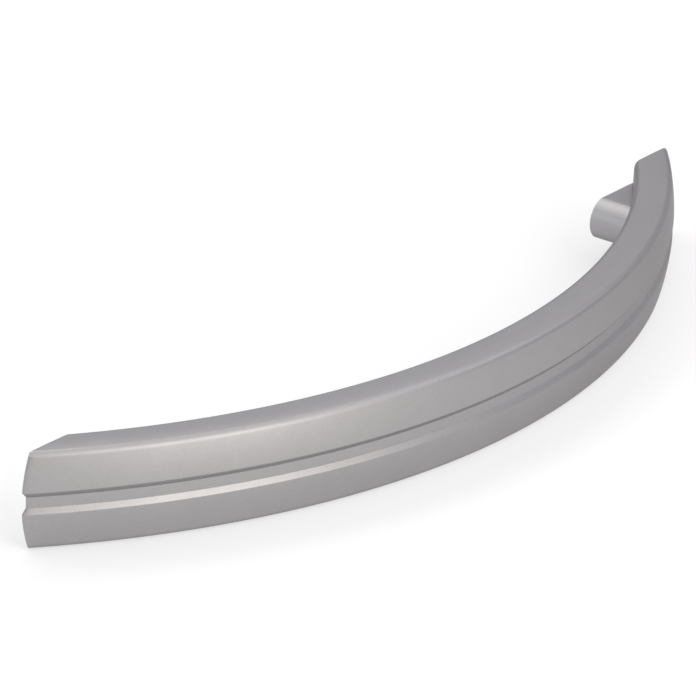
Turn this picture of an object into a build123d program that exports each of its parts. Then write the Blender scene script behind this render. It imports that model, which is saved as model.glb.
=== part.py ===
from build123d import *
from math import asin, cos, degrees, radians, sin, sqrt, tan
import os

# Bridge pull handle, die cast in one piece: a bowed bar with a groove along its front, on two feet.
# Millimetres. The origin is on the door plane, midway between the two fixing holes. X runs along the
# handle, -Y points out of the door and Z is up.

# Fixing
hole_spacing = 160.0
tap_drill_diameter = 3.3  # for an M4 thread
mouth_chamfer = 0.5
mouth_angle = 90.0
drill_point_angle = 118.0
front_wall = 2.2  # metal left between a hole or a foot and the floor of the groove

# Feet
foot_length = 20.6
foot_height = 8.3
foot_inset = 6.7  # from the outer end of a foot to the tip of the bar
foot_proud = 0.3  # the feet stand this far behind the flat ends of the bar

# Bar
projection = 35.7  # from the door to the front at the middle of the bow
bar_height = 17.6  # at the parting line
bar_depth = 8.2
crown = 1.1  # swell of the front from its upper and lower edges to its middle

# Draft: the upper and lower sides fall away from the mould's parting line, to the front and the back.
draft_angle = 1.5
parting_depth = 3.7  # the parting line lies this far behind the front
parting_radius = 35.0  # soft ridge that polishing leaves along the parting line

# Groove
groove_mouth = 3.9
groove_floor = 2.0
groove_depth = 0.65

# Edges
front_edge_radius = 1.2
back_edge_radius = 1.2
end_corner_radius = 4.0  # between the back of the bow and the flat ends
tip_radius = 0.3
groove_lip_radius = 0.15

# The bow: an arc through both tips and the front at the middle of the handle.
half_length = (hole_spacing + foot_length) / 2 + foot_inset
bow_rise = projection - foot_proud
bow_radius = (half_length**2 + bow_rise**2) / (2 * bow_rise)
back_radius = bow_radius - bar_depth
bow_centre = Vector(0, bow_radius - projection)
bow_axis = Axis(bow_centre, (0, 0, 1))

# Sections are drawn at the -X end, with the distance from the bow's axis as their local x. They
# sweep a little past both tips, so that the flat ends can be cut from the bar.
end_overrun = radians(2.0)
half_sweep = asin(half_length / bow_radius) + end_overrun
sweep = degrees(2 * half_sweep)
outwards = Vector(-sin(half_sweep), -cos(half_sweep), 0)
section_plane = Plane(bow_centre, x_dir=outwards, z_dir=outwards.cross(Vector(0, 0, 1)))

# The bar's section with sharp edges: a crowned front with a groove along its middle, and sides with
# draft.
fall = tan(radians(draft_angle))
ridge = (bow_radius - parting_depth, bar_height / 2)
front_corner = (bow_radius - crown, bar_height / 2 - (parting_depth - crown) * fall)
back_corner = (back_radius, bar_height / 2 - (bar_depth - parting_depth) * fall)
crown_radius = (front_corner[1] ** 2 + crown**2) / (2 * crown)
crown_centre = bow_radius - crown_radius
lip = (crown_centre + sqrt(crown_radius**2 - (groove_mouth / 2) ** 2), groove_mouth / 2)
floor_distance = bow_radius - groove_depth

with BuildSketch() as bar_outline:
    with BuildLine():
        Polyline((floor_distance, 0), (floor_distance, groove_floor / 2), lip)
        RadiusArc(lip, front_corner, -crown_radius)
        Polyline(front_corner, ridge, back_corner, (back_radius, 0))
        mirror(about=Plane.XZ)
    make_face()

# Plan of the ends: the back of the bow, a soft corner at each side and the flat ends. Its front
# stands clear of the bar, so that it shapes nothing but the ends.
end_y = -foot_proud
end_distance = bow_centre.Y - end_y
back_end_x = sqrt(back_radius**2 - end_distance**2)
clear_radius = bow_radius + bar_depth
clear_end_x = sqrt(clear_radius**2 - end_distance**2)

with BuildPart() as end_form:
    with BuildSketch(Plane.XY.offset(-bar_height)) as plan:
        with BuildLine():
            ThreePointArc(
                (-back_end_x, end_y), (0, bow_centre.Y - back_radius), (back_end_x, end_y)
            )
            Line((back_end_x, end_y), (clear_end_x, end_y))
            ThreePointArc(
                (clear_end_x, end_y), (0, bow_centre.Y - clear_radius), (-clear_end_x, end_y)
            )
            Line((-clear_end_x, end_y), (-back_end_x, end_y))
        make_face()
        fillet(plan.vertices().group_by(SortBy.DISTANCE)[0], end_corner_radius)
    extrude(amount=2 * bar_height)

# The bar cut to length, with rounded tips and its long edges still sharp.
with BuildPart() as blank:
    with BuildSketch(section_plane):
        add(bar_outline.sketch)
    revolve(axis=bow_axis, revolution_arc=sweep)
    add(end_form.part, mode=Mode.INTERSECT)
    tip_zone = half_length - crown - groove_depth
    end_edges = blank.faces().filter_by(Axis.Y).edges()
    fillet(end_edges.filter_by(lambda edge: abs(edge.center().X) > tip_zone), tip_radius)

# Feet, each ending inside the bar well behind its groove.
front_wall_radius = floor_distance - front_wall

with BuildPart() as feet:
    with BuildSketch(Plane.front):
        with GridLocations(hole_spacing, 0, 2, 1):
            SlotOverall(foot_length, foot_height)
    extrude(amount=projection)
    with Locations(bow_centre):
        Cylinder(front_wall_radius, bar_height, mode=Mode.INTERSECT)

# Blind tapped holes, as deep as the metal in front of them allows.
tap_radius = tap_drill_diameter / 2
hole_outer_edge = hole_spacing / 2 + tap_radius
hole_depth = sqrt(front_wall_radius**2 - hole_outer_edge**2) - bow_centre.Y
drill_point = tap_radius / tan(radians(drill_point_angle / 2))
soft_corners = (
    (lip, groove_lip_radius),
    (front_corner, front_edge_radius),
    (ridge, parting_radius),
    (back_corner, back_edge_radius),
)

with BuildPart() as handle:
    with BuildSketch(section_plane) as section:
        add(bar_outline.sketch)
        for (distance, height), radius in soft_corners:
            for corner in ((distance, height), (distance, -height)):
                fillet(section.vertices().sort_by_distance(corner)[0], radius)
    revolve(axis=bow_axis, revolution_arc=sweep)
    add(blank.part, mode=Mode.INTERSECT)
    add(feet.part)
    with Locations(Plane.back):
        with GridLocations(hole_spacing, 0, 2, 1):
            CounterSinkHole(tap_radius, tap_radius + mouth_chamfer, hole_depth, mouth_angle)
    with Locations(Plane.front.offset(hole_depth)):
        with GridLocations(hole_spacing, 0, 2, 1):
            Cone(
                tap_radius,
                0,
                drill_point,
                align=(Align.CENTER, Align.CENTER, Align.MIN),
                mode=Mode.SUBTRACT,
            )

handle.part.label = "handle"
os.makedirs("parts", exist_ok=True)
export_step(handle.part, "parts/handle.step")
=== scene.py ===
from math import acos, atan2, cos, hypot, pi, radians, sin, sqrt, tan

import bmesh
import bpy
from mathutils import Matrix, Vector


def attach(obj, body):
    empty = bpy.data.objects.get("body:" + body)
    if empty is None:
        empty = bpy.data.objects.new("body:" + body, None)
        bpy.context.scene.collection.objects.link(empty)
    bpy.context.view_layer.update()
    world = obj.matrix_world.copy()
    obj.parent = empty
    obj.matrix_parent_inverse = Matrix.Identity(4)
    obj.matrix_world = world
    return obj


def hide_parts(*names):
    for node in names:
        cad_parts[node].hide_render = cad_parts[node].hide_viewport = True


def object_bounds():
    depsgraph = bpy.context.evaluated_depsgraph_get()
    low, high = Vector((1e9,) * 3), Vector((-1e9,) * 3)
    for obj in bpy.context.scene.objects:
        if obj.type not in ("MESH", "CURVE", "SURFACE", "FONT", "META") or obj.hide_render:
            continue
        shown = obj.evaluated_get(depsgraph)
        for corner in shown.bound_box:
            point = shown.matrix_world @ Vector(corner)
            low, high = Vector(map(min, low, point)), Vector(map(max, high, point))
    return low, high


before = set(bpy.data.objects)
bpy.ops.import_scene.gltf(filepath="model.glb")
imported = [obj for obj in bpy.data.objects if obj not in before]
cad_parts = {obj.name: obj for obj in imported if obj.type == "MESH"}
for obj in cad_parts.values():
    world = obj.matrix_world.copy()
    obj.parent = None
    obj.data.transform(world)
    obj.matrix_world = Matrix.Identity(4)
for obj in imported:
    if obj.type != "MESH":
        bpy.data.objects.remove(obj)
cad_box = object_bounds()

# Sizes of the casting, in millimetres and degrees. Sections are drawn as (distance from the axis of
# the bow, height), and plans of an end as (distance from the middle, distance out from that axis).

mm_per_metre = 1000

hole_spacing = 160.0
tap_drill_diameter = 3.3
mouth_chamfer = 0.5
drill_point_angle = 118.0
front_wall = 2.2

foot_length = 20.6
foot_height = 8.3
foot_inset = 6.7
foot_proud = 0.3

projection = 35.7
bar_height = 17.6
bar_depth = 8.2
crown = 1.1

draft_angle = 1.5
parting_depth = 3.7
parting_radius = 35.0

groove_mouth = 3.9
groove_floor = 2.0
groove_depth = 0.65

front_edge_radius = 1.2
back_edge_radius = 1.2
end_corner_radius = 4.0
tip_radius = 0.3
groove_lip_radius = 0.15

thread_pitch = 0.7
thread_diameter = 4.0
thread_flank_angle = 30.0
thread_root = thread_pitch / 16
thread_run_out = 2 * thread_pitch

half_length = (hole_spacing + foot_length) / 2 + foot_inset
bow_rise = projection - foot_proud
bow_radius = (half_length**2 + bow_rise**2) / (2 * bow_rise)
back_radius = bow_radius - bar_depth
axis_y = bow_radius - projection
end_distance = axis_y + foot_proud

fall = tan(radians(draft_angle))
ridge = Vector((bow_radius - parting_depth, bar_height / 2))
front_corner = Vector((bow_radius - crown, bar_height / 2 - (parting_depth - crown) * fall))
back_corner = Vector((back_radius, bar_height / 2 - (bar_depth - parting_depth) * fall))
crown_radius = (front_corner.y**2 + crown**2) / (2 * crown)
crown_middle = Vector((bow_radius - crown_radius, 0))
floor_distance = bow_radius - groove_depth
floor_corner = Vector((floor_distance, groove_floor / 2))
lip = Vector((crown_middle.x + sqrt(crown_radius**2 - (groove_mouth / 2) ** 2), groove_mouth / 2))
front_wall_radius = floor_distance - front_wall

corner_out = end_distance + end_corner_radius
corner_middle = Vector((sqrt((back_radius + end_corner_radius) ** 2 - corner_out**2), corner_out))
corner_reach = Vector((corner_middle.x, end_distance))

# Steps of the mesh in each stretch of the section

lip_steps = 4
front_edge_steps = 14
ridge_steps = 4
back_edge_steps = 12
crown_steps = 24
groove_side_steps = 3
side_steps = 4
soft_end_steps = 4

# Allowances for rounding, and the angle between two faces from which their edge is drawn sharp

same_point = 1e-7
rounding = 1e-6
sharp_from = radians(28)


# Shapes


def arc(middle, start, end, steps):
    """Points from start to end, the short way round a middle."""
    radius = (start - middle).length
    first = atan2(start.y - middle.y, start.x - middle.x)
    turn = atan2(end.y - middle.y, end.x - middle.x) - first
    turn = (turn + pi) % (2 * pi) - pi
    return [
        middle + radius * Vector((cos(first + turn * k / steps), sin(first + turn * k / steps)))
        for k in range(steps + 1)
    ]


def between_lines(before, corner, after, radius, steps):
    """The arc that softens a corner of two straight sides."""
    a = (before - corner).normalized()
    b = (after - corner).normalized()
    half = a.angle(b) / 2
    middle = corner + (a + b).normalized() * radius / sin(half)
    reach = radius / tan(half)
    return arc(middle, corner + a * reach, corner + b * reach, steps)


def line_to_crown(far, corner, radius, steps):
    """The arc that softens the corner where a straight side meets the crowned front."""
    along = (corner - far).normalized()
    inwards = Vector((along.y, -along.x))
    if inwards.x > 0:
        inwards = -inwards
    base = far + inwards * radius - crown_middle
    half = base.dot(along)
    reach = -half + sqrt(half**2 - base.length_squared + (crown_radius - radius) ** 2)
    middle = base + along * reach
    on_crown = crown_middle + middle.normalized() * crown_radius
    middle += crown_middle
    return arc(middle, middle - inwards * radius, on_crown, steps)


def spread(start, end, steps):
    """The points inside a straight run."""
    return [start.lerp(end, k / steps) for k in range(1, steps)]


def upper_section():
    """The upper half of the bar's section, from the floor of the groove round to its back."""
    back_middle = Vector((back_radius, 0))
    soft_lip = line_to_crown(floor_corner, lip, groove_lip_radius, lip_steps)
    soft_front = line_to_crown(ridge, front_corner, front_edge_radius, front_edge_steps)[::-1]
    soft_ridge = between_lines(front_corner, ridge, back_corner, parting_radius, ridge_steps)
    soft_back = between_lines(ridge, back_corner, back_middle, back_edge_radius, back_edge_steps)
    section = [
        floor_corner,
        *spread(floor_corner, soft_lip[0], groove_side_steps),
        *soft_lip[:-1],
        *arc(crown_middle, soft_lip[-1], soft_front[0], crown_steps)[:-1],
        *soft_front,
        *spread(soft_front[-1], soft_ridge[0], side_steps),
        *soft_ridge,
        *spread(soft_ridge[-1], soft_back[0], side_steps),
        *soft_back,
    ]
    # One more point, where the rounded corner of the end turns off from the flat of the end.
    last = max(k for k, point in enumerate(section) if point.x > corner_reach.length)
    a, b = section[last : last + 2]
    turn_off = a.lerp(b, (a.x - corner_reach.length) / (a.x - b.x))
    return section[: last + 1] + [turn_off] + section[last + 1 :]


def front_at(height):
    """How far out the front of the sharp-edged bar is at a height."""
    height = abs(height)
    if height <= floor_corner.y:
        return floor_distance
    if height < lip.y:
        return floor_corner.lerp(lip, (height - floor_corner.y) / (lip.y - floor_corner.y)).x
    return crown_middle.x + sqrt(crown_radius**2 - height**2)


def end_plan(distance, height, steps):
    """The way round an end for one point of the section: where its arc stops, and on to the cap."""
    if distance < corner_reach.length:
        reach = corner_middle.length
        lean = (reach**2 + end_corner_radius**2 - distance**2) / (2 * reach * end_corner_radius)
        swing = acos(min(1.0, lean))
        inward = atan2(-corner_middle.y, -corner_middle.x) + swing
        point = corner_middle + end_corner_radius * Vector((cos(inward), sin(inward)))
        return [point] * (steps + 1)
    nose_out = end_distance + tip_radius
    front = front_at(height)
    nose = Vector((sqrt((front - tip_radius) ** 2 - nose_out**2), nose_out))
    flat = sqrt(distance**2 - end_distance**2)
    if flat <= nose.x:
        return [Vector((flat, end_distance))] * (steps + 1)
    reach = nose.length
    lean = (distance**2 - reach**2 - tip_radius**2) / (2 * tip_radius * reach)
    first = atan2(nose.y, nose.x) - acos(min(1.0, lean))
    turn = -pi / 2 - first
    return [
        nose + tip_radius * Vector((cos(first + turn * k / steps), sin(first + turn * k / steps)))
        for k in range(steps + 1)
    ]


def new_mesh(name, points, faces):
    """A closed mesh from points in millimetres."""
    mesh = bpy.data.meshes.new(name)
    shape = bmesh.new()
    corners = [shape.verts.new([c / mm_per_metre for c in point]) for point in points]
    for face in faces:
        shape.faces.new([corners[k] for k in face])
    bmesh.ops.remove_doubles(shape, verts=shape.verts, dist=same_point)
    bmesh.ops.dissolve_degenerate(shape, dist=same_point, edges=shape.edges)
    bmesh.ops.recalc_face_normals(shape, faces=shape.faces)
    shape.to_mesh(mesh)
    shape.free()
    made = bpy.data.objects.new(name, mesh)
    bpy.context.scene.collection.objects.link(made)
    return made


def skin(rows, count):
    """The faces of so many rows between closed rings, each with the same count of points."""
    return [
        (k * count + j, k * count + (j + 1) % count, (k + 1) * count + (j + 1) % count, (k + 1) * count + j)
        for k in range(rows)
        for j in range(count)
    ]


def bar(columns=240, nose_steps=8):
    """The bowed bar: its section carried round the bow, with rounded tips and flat ends."""
    upper = upper_section()
    half = len(upper)
    section = [(p.x, p.y) for p in upper] + [(p.x, -p.y) for p in reversed(upper)]
    count = len(section)
    rings = []
    plans = [end_plan(distance, height, nose_steps) for distance, height in section]
    for k in range(nose_steps, 0, -1):
        rings.append([(-plan[k].x, axis_y - plan[k].y, p[1]) for plan, p in zip(plans, section)])
    for k in range(columns + 1):
        share = 2 * k / columns - 1
        ring = []
        for plan, (distance, height) in zip(plans, section):
            angle = share * atan2(plan[0].x, plan[0].y)
            ring.append((distance * sin(angle), axis_y - distance * cos(angle), height))
        rings.append(ring)
    for k in range(1, nose_steps + 1):
        rings.append([(plan[k].x, axis_y - plan[k].y, p[1]) for plan, p in zip(plans, section)])
    points = [point for ring in rings for point in ring]
    faces = skin(len(rings) - 1, count)
    turn_off = next(j for j in range(half) if upper[j].x < corner_reach.length + rounding)
    for first in (0, (len(rings) - 1) * count):
        flat = [*range(turn_off + 1), *range(count - 1 - turn_off, count)]
        faces.append([first + j for j in flat])
        for j in range(turn_off, half - 1):
            faces.append([first + n for n in (j, j + 1, count - 2 - j, count - 1 - j)])
    return new_mesh("bar", points, faces)


def foot(side, steps=48):
    """A round-ended foot, from the door into the metal of the bar."""
    straight = (foot_length - foot_height) / 2
    round_radius = foot_height / 2
    outline = []
    for end in (1, -1):
        for k in range(steps + 1):
            angle = pi * k / steps - pi / 2
            across = end * (straight + round_radius * cos(angle))
            outline.append((side * hole_spacing / 2 + across, end * round_radius * sin(angle)))
    count = len(outline)
    points = [(x, 0, z) for x, z in outline]
    points += [(x, axis_y - sqrt(front_wall_radius**2 - x**2), z) for x, z in outline]
    faces = [range(count), range(2 * count - 1, count - 1, -1)]
    faces += [(k, (k + 1) % count, count + (k + 1) % count, count + k) for k in range(count)]
    return new_mesh("foot", points, faces)


def tapped_hole(side, columns=40, rows_per_turn=16):
    """What a drill, a countersink and an M4 tap take out of a foot."""
    tap_radius = tap_drill_diameter / 2
    hole_x = side * hole_spacing / 2
    hole_depth = sqrt(front_wall_radius**2 - (hole_spacing / 2 + tap_radius) ** 2) - axis_y
    point_depth = tap_radius / tan(radians(drill_point_angle / 2))
    flank = (thread_diameter - tap_drill_diameter) / 2 * tan(radians(thread_flank_angle))
    thread_end = hole_depth - thread_run_out
    over = mouth_chamfer
    rows = int((hole_depth + over) / (thread_pitch / rows_per_turn))
    rings = []
    for k in range(rows + 1):
        depth = -over + (hole_depth + over) * k / rows
        fade = min(1, max(0, 1 - (depth - thread_end) / thread_pitch))
        ring = []
        for j in range(columns):
            angle = 2 * pi * j / columns
            turns = depth / thread_pitch - j / columns
            off = abs(turns % 1 - 0.5) * thread_pitch
            cut = min(1, max(0, (thread_root + flank - off) / flank)) * fade
            radius = tap_radius + cut * (thread_diameter - tap_drill_diameter) / 2
            radius = max(radius, tap_radius + mouth_chamfer - depth)
            ring.append((hole_x + radius * cos(angle), -depth, radius * sin(angle)))
        rings.append(ring)
    points = [point for ring in rings for point in ring]
    tip = len(points)
    points.append((hole_x, -hole_depth - point_depth, 0))
    faces = [range(columns), *skin(rows, columns)]
    faces += [(rows * columns + j, rows * columns + (j + 1) % columns, tip) for j in range(columns)]
    return new_mesh("hole", points, faces)


def combine(body, tool, operation):
    """Adds a tool to the body or cuts it out, and deletes the tool."""
    modifier = body.modifiers.new("combine", "BOOLEAN")
    modifier.operation = operation
    modifier.solver = "EXACT"
    modifier.object = tool
    graph = bpy.context.evaluated_depsgraph_get()
    mesh = bpy.data.meshes.new_from_object(body.evaluated_get(graph))
    body.modifiers.clear()
    body.data = mesh
    bpy.data.objects.remove(tool)


def is_end(face):
    """Whether a face belongs to the flat ends or their rounded corners."""
    ends_begin = corner_middle.x / mm_per_metre * 0.97
    upright = 0.1
    return abs(face.calc_center_median().x) > ends_begin and abs(face.normal.z) < upright


def soften_ends(body):
    """Rounds the edges where the flat ends meet the upper and lower sides."""
    well_above_middle = foot_height / mm_per_metre * 0.9
    clear_corner = radians(50)
    shape = bmesh.new()
    shape.from_mesh(body.data)
    edges = [
        edge
        for edge in shape.edges
        if edge.calc_face_angle() > clear_corner
        and abs(edge.verts[0].co.z) > well_above_middle
        and any(is_end(face) for face in edge.link_faces)
    ]
    bmesh.ops.bevel(
        shape,
        geom=edges,
        offset=tip_radius / mm_per_metre,
        segments=soft_end_steps,
        profile=0.5,
        affect="EDGES",
        clamp_overlap=True,
    )
    shape.to_mesh(body.data)
    shape.free()


def in_hole(point):
    """Whether a point of the surface lies in a tapped hole."""
    across = hypot(abs(point.x) - hole_spacing / 2 / mm_per_metre, point.z)
    just_past_mouth = 1.02 * (tap_drill_diameter / 2 + mouth_chamfer) / mm_per_metre
    return across < just_past_mouth and point.y < -rounding


def make_casting():
    """The whole handle: the bar with softened ends, two feet on it and a tapped hole in each."""
    body = bar()
    soften_ends(body)
    for side in (-1, 1):
        combine(body, foot(side), "UNION")
    for side in (-1, 1):
        combine(body, tapped_hole(side), "DIFFERENCE")
    shape = bmesh.new()
    shape.from_mesh(body.data)
    for face in shape.faces:
        face.smooth = True
        face.material_index = int(in_hole(face.calc_center_median()))
    for edge in shape.edges:
        edge.smooth = edge.is_manifold and edge.calc_face_angle() < sharp_from
    shape.to_mesh(body.data)
    shape.free()
    weighted = body.modifiers.new("even shading", "WEIGHTED_NORMAL")
    weighted.keep_sharp = True
    return body


casting = make_casting()
casting.name = casting.data.name = "cast_handle"
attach(casting, "root")
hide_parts("handle")


# Shader maths


class Value:
    """A shader socket. An expression on values adds its Math nodes to the same shader."""

    def __init__(self, shader, socket):
        self.shader = shader
        self.socket = socket

    def math(self, operation, first, second):
        return self.shader.node("Math", {"operation": operation}, first, second)

    def __add__(self, other):
        return self.math("ADD", self, other)

    def __radd__(self, other):
        return self.math("ADD", other, self)

    def __sub__(self, other):
        return self.math("SUBTRACT", self, other)

    def __rsub__(self, other):
        return self.math("SUBTRACT", other, self)

    def __mul__(self, other):
        return self.math("MULTIPLY", self, other)

    def __rmul__(self, other):
        return self.math("MULTIPLY", other, self)

    def larger(self, other):
        return self.math("MAXIMUM", self, other)


class Shader:
    """The nodes of one material or of the world."""

    def __init__(self, owner):
        owner.use_nodes = True
        self.tree = owner.node_tree
        self.tree.nodes.clear()

    def node(self, kind, settings, *inputs, out=0, **named):
        """Adds a node, sets it up, feeds its sockets in order and then by name, and gives an output."""
        made = self.tree.nodes.new("ShaderNode" + kind)
        for name, setting in settings.items():
            setattr(made, name, setting)
        sockets = [socket for socket in made.inputs if socket.enabled]
        feeds = list(zip(sockets, inputs))
        feeds += [(made.inputs[name.replace("_", " ")], fed) for name, fed in named.items()]
        for socket, fed in feeds:
            if isinstance(fed, Value):
                self.tree.links.new(fed.socket, socket)
            else:
                socket.default_value = fed
        outputs = {socket.name: socket for socket in made.outputs if socket.enabled}
        if isinstance(out, str):
            return Value(self, outputs[out])
        return Value(self, list(outputs.values())[out]) if outputs else None

    def grain(self, size, detail=0.0):
        """Soft noise whose lumps are about so many millimetres across, from -0.5 to 0.5."""
        place = self.node("TexCoord", {}, out="Object")
        return self.node("TexNoise", {}, place, Scale=mm_per_metre / size, Detail=detail) - 0.5


# Camera, in front of the left end and above

camera_place = Vector((-0.52738, -0.37895, 0.28470))
camera_aim = Vector((-0.01802, -0.00739, 0.00435))
camera_roll = radians(2.785)

camera_data = bpy.data.cameras.new("camera")
camera_data.sensor_width = 36.0
camera_data.lens = 202.58
camera_data.clip_start = 0.01
camera_data.clip_end = 20.0
camera = bpy.data.objects.new("camera", camera_data)
camera.location = camera_place
look = (camera_aim - camera_place).to_track_quat("-Z", "Y").to_matrix()
camera.rotation_euler = (look @ Matrix.Rotation(camera_roll, 3, "Z")).to_euler()
bpy.context.scene.collection.objects.link(camera)
bpy.context.scene.camera = camera


# Floor, world and lamps

floor_reach = 6.0
floor_level = cad_box[0].z
floor_corners = [(-1, -1), (1, -1), (1, 1), (-1, 1)]

floor_mesh = bpy.data.meshes.new("floor")
floor_mesh.from_pydata(
    [(x * floor_reach, y * floor_reach, floor_level) for x, y in floor_corners], [], [(0, 1, 2, 3)]
)
floor = bpy.data.objects.new("floor", floor_mesh)
bpy.context.scene.collection.objects.link(floor)


def white_floor():
    """Matt white, lifted a little towards plain white where the camera or the metal sees it."""
    material = bpy.data.materials.new("white floor")
    shader = Shader(material)
    seen = shader.node("LightPath", {}, out="Is Camera Ray")
    for ray in ("Is Glossy Ray", "Is Transmission Ray"):
        seen = seen.larger(shader.node("LightPath", {}, out=ray))
    matt = shader.node("BsdfDiffuse", {}, (0.9, 0.9, 0.9, 1.0))
    glow = shader.node("Emission", {}, (1.0, 1.0, 1.0, 1.0), 1.0)
    glow_share = 0.5
    surface = shader.node("MixShader", {}, seen * glow_share, matt, glow)
    shader.node("OutputMaterial", {}, surface)
    return material


floor_mesh.materials.append(white_floor())

world = bpy.data.worlds.new("world")
bpy.context.scene.world = world
world_shader = Shader(world)
world_strength = 0.53
background = world_shader.node("Background", {}, (0.895, 0.895, 1.0, 1.0), world_strength)
world_shader.node("OutputWorld", {}, background)

lamp_distance = 1.2


def softbox(name, azimuth, elevation, width, height, brightness, tint):
    """A rectangular lamp that faces the handle, as bright at any size. Azimuth 0 is along +X."""
    lamp = bpy.data.lights.new(name, "AREA")
    lamp.shape = "RECTANGLE"
    lamp.size = width
    lamp.size_y = height
    lamp.energy = brightness * pi * width * height
    lamp.color = tint
    made = bpy.data.objects.new(name, lamp)
    turn = Matrix.Rotation(radians(azimuth), 3, "Z") @ Matrix.Rotation(radians(-elevation), 3, "Y")
    made.location = turn @ Vector((lamp_distance, 0, 0))
    made.rotation_euler = (-made.location).to_track_quat("-Z", "Y").to_euler()
    bpy.context.scene.collection.objects.link(made)


softbox("tall key softbox", 262, 24, 0.7, 1.3, 3.2, (1.0, 0.965, 0.885))
softbox("left softbox", 150, 24, 0.7, 0.8, 1.35, (0.97, 1.0, 0.99))
softbox("back softbox", 72, 56, 1.6, 0.4, 2.8, (0.98, 1.0, 0.935))
softbox("right softbox", 325, 50, 1.0, 0.8, 1.0, (0.99, 0.99, 1.0))
softbox("overhead softbox", 270, 80, 0.6, 0.6, 1.36, (1.0, 0.98, 0.87))
softbox("low right softbox", 5, 8, 0.8, 0.3, 0.35, (0.95, 0.96, 1.0))


# Materials


def satin_lacquer():
    """Silver lacquer: fine aluminium flakes in a matt clear binder, sprayed over the casting."""
    material = bpy.data.materials.new("satin aluminium lacquer")
    shader = Shader(material)
    flake_size = 0.1
    peel_height = 0.003
    place = shader.node("TexCoord", {}, out="Object")
    flakes = shader.node("TexVoronoi", {}, place, Scale=mm_per_metre / flake_size, out="Color")
    glint = shader.node("SeparateColor", {}, flakes) - 0.5
    shade = 1 + glint * 0.1 + shader.grain(8.0, detail=3.0) * 0.06
    silver = shader.node("VectorMath", {"operation": "SCALE"}, (0.395, 0.383, 0.387), Scale=shade)
    roughness = 0.48 + shader.grain(3.0, detail=2.0) * 0.06
    peel = shader.grain(0.9, detail=1.0) + glint * 0.15
    surface = shader.node("Bump", {}, Strength=1.0, Distance=peel_height / mm_per_metre, Height=peel)
    finish = shader.node(
        "BsdfPrincipled",
        {},
        Base_Color=silver,
        Metallic=1.0,
        Roughness=roughness,
        Specular_Tint=(0.5, 0.5, 0.5, 1.0),
        Normal=surface,
    )
    shader.node("OutputMaterial", {}, finish)
    return material


def cut_zinc():
    """Bare zinc in the tapped holes, with the fine rings that a tap leaves."""
    material = bpy.data.materials.new("cut zinc")
    shader = Shader(material)
    ring_height = 0.002
    place = shader.node("TexCoord", {}, out="Object")
    rings = shader.node("TexWave", {"bands_direction": "Y"}, place, Scale=900.0, Distortion=2.0) - 0.5
    bright = 1 + rings * 0.12 + shader.grain(0.4, detail=2.0) * 0.1
    zinc = shader.node("VectorMath", {"operation": "SCALE"}, (0.56, 0.57, 0.59), Scale=bright)
    roughness = 0.3 + shader.grain(0.3, detail=2.0) * 0.12
    surface = shader.node("Bump", {}, Strength=1.0, Distance=ring_height / mm_per_metre, Height=rings)
    finish = shader.node(
        "BsdfPrincipled", {}, Base_Color=zinc, Metallic=1.0, Roughness=roughness, Normal=surface
    )
    shader.node("OutputMaterial", {}, finish)
    return material


casting.data.materials.clear()
casting.data.materials.append(satin_lacquer())
casting.data.materials.append(cut_zinc())

bpy.context.scene.view_settings.view_transform = "Standard"
